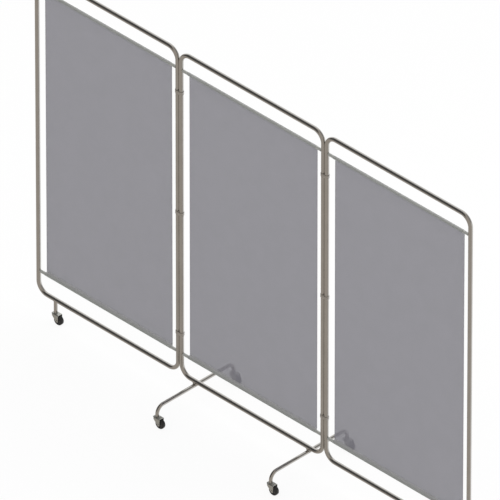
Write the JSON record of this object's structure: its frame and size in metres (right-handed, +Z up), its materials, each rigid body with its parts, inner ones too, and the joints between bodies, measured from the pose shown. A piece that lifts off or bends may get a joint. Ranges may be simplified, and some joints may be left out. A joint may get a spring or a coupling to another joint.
{
  "type": "folding ward privacy screen on wheels",
  "caption": "Folding ward screen: bent steel tube frames side by side with taut grey curtains, foot bars and swivel casters.",
  "frame": {"origin": "on the floor under the middle of the middle frame, at the centre of the whole screen's footprint", "axes": "+X along the open screen towards its right wing, +Y to the side that the curtains hang on, behind the rods, +Z up"},
  "size_m": [2.4398, 0.4592, 1.6845],
  "materials": {
    "frame_steel": "bright plated tube, lightly brushed",
    "rod_steel": "satin",
    "curtain_cloth": "plain fine weave, slightly see-through",
    "caster_zinc": "pressed sheet, zinc plated",
    "wheel_nylon": "moulded",
    "tyre_rubber": "smooth tread"
  },
  "bodies": {
    "middle": {"middle_frame": "frame_steel", "middle_upper_rod": "rod_steel", "middle_lower_rod": "rod_steel", "middle_curtain": "curtain_cloth", "left_foot": "frame_steel", "right_foot": "frame_steel", "left_front_bush": "caster_zinc", "left_front_stem": "caster_zinc", "left_back_bush": "caster_zinc", "left_back_stem": "caster_zinc", "right_front_bush": "caster_zinc", "right_front_stem": "caster_zinc", "right_back_bush": "caster_zinc", "right_back_stem": "caster_zinc"},
    "left_links": {"left_low_band": "frame_steel", "left_middle_band": "frame_steel", "left_high_band": "frame_steel"},
    "right_links": {"right_low_band": "frame_steel", "right_middle_band": "frame_steel", "right_high_band": "frame_steel"},
    "left_wing": {"left_frame": "frame_steel", "left_upper_rod": "rod_steel", "left_lower_rod": "rod_steel", "left_curtain": "curtain_cloth", "left_leg": "frame_steel", "left_wing_bush": "caster_zinc", "left_wing_stem": "caster_zinc"},
    "right_wing": {"right_frame": "frame_steel", "right_upper_rod": "rod_steel", "right_lower_rod": "rod_steel", "right_curtain": "curtain_cloth", "right_leg": "frame_steel", "right_wing_bush": "caster_zinc", "right_wing_stem": "caster_zinc"},
    "left_front_swivel": {"left_front_fork": "caster_zinc", "left_front_axle": "caster_zinc"},
    "left_front_wheel": {"left_front_hub": "wheel_nylon", "left_front_tyre": "tyre_rubber"},
    "left_back_swivel": {"left_back_fork": "caster_zinc", "left_back_axle": "caster_zinc"},
    "left_back_wheel": {"left_back_hub": "wheel_nylon", "left_back_tyre": "tyre_rubber"},
    "left_wing_swivel": {"left_wing_fork": "caster_zinc", "left_wing_axle": "caster_zinc"},
    "left_wing_wheel": {"left_wing_hub": "wheel_nylon", "left_wing_tyre": "tyre_rubber"},
    "right_front_swivel": {"right_front_fork": "caster_zinc", "right_front_axle": "caster_zinc"},
    "right_front_wheel": {"right_front_hub": "wheel_nylon", "right_front_tyre": "tyre_rubber"},
    "right_back_swivel": {"right_back_fork": "caster_zinc", "right_back_axle": "caster_zinc"},
    "right_back_wheel": {"right_back_hub": "wheel_nylon", "right_back_tyre": "tyre_rubber"},
    "right_wing_swivel": {"right_wing_fork": "caster_zinc", "right_wing_axle": "caster_zinc"},
    "right_wing_wheel": {"right_wing_hub": "wheel_nylon", "right_wing_tyre": "tyre_rubber"}
  },
  "joints": [
    {"name": "left_link_turn", "type": "hinge", "parent": "middle", "child": "left_links", "pos_m": [-0.397, 0, 0.894], "axis": [0, 0, 1], "range_deg": [-89, 89]},
    {"name": "left_fold", "type": "hinge", "parent": "left_links", "child": "left_wing", "pos_m": [-0.4164, 0, 0.894], "axis": [0, 0, 1], "range_deg": [-89, 89]},
    {"name": "right_link_turn", "type": "hinge", "parent": "middle", "child": "right_links", "pos_m": [0.397, 0, 0.894], "axis": [0, 0, 1], "range_deg": [-89, 89]},
    {"name": "right_fold", "type": "hinge", "parent": "right_links", "child": "right_wing", "pos_m": [0.4164, 0, 0.894], "axis": [0, 0, 1], "range_deg": [-89, 89]},
    {"name": "left_front_turn", "type": "hinge", "parent": "middle", "child": "left_front_swivel", "pos_m": [-0.32, -0.215, 0.05], "axis": [0, 0, 1], "continuous": true},
    {"name": "left_front_roll", "type": "hinge", "parent": "left_front_swivel", "child": "left_front_wheel", "pos_m": [-0.3025, -0.215, 0.0225], "axis": [0, 1, 0], "continuous": true},
    {"name": "left_back_turn", "type": "hinge", "parent": "middle", "child": "left_back_swivel", "pos_m": [-0.32, 0.215, 0.05], "axis": [0, 0, 1], "continuous": true},
    {"name": "left_back_roll", "type": "hinge", "parent": "left_back_swivel", "child": "left_back_wheel", "pos_m": [-0.3025, 0.215, 0.0225], "axis": [0, 1, 0], "continuous": true},
    {"name": "left_wing_turn", "type": "hinge", "parent": "left_wing", "child": "left_wing_swivel", "pos_m": [-1.1144, 0, 0.05], "axis": [0, 0, 1], "continuous": true},
    {"name": "left_wing_roll", "type": "hinge", "parent": "left_wing_swivel", "child": "left_wing_wheel", "pos_m": [-1.0969, 0, 0.0225], "axis": [0, 1, 0], "continuous": true},
    {"name": "right_front_turn", "type": "hinge", "parent": "middle", "child": "right_front_swivel", "pos_m": [0.32, -0.215, 0.05], "axis": [0, 0, 1], "continuous": true},
    {"name": "right_front_roll", "type": "hinge", "parent": "right_front_swivel", "child": "right_front_wheel", "pos_m": [0.3375, -0.215, 0.0225], "axis": [0, 1, 0], "continuous": true},
    {"name": "right_back_turn", "type": "hinge", "parent": "middle", "child": "right_back_swivel", "pos_m": [0.32, 0.215, 0.05], "axis": [0, 0, 1], "continuous": true},
    {"name": "right_back_roll", "type": "hinge", "parent": "right_back_swivel", "child": "right_back_wheel", "pos_m": [0.3375, 0.215, 0.0225], "axis": [0, 1, 0], "continuous": true},
    {"name": "right_wing_turn", "type": "hinge", "parent": "right_wing", "child": "right_wing_swivel", "pos_m": [1.1144, 0, 0.05], "axis": [0, 0, 1], "continuous": true},
    {"name": "right_wing_roll", "type": "hinge", "parent": "right_wing_swivel", "child": "right_wing_wheel", "pos_m": [1.1319, 0, 0.0225], "axis": [0, 1, 0], "continuous": true}
  ]
}
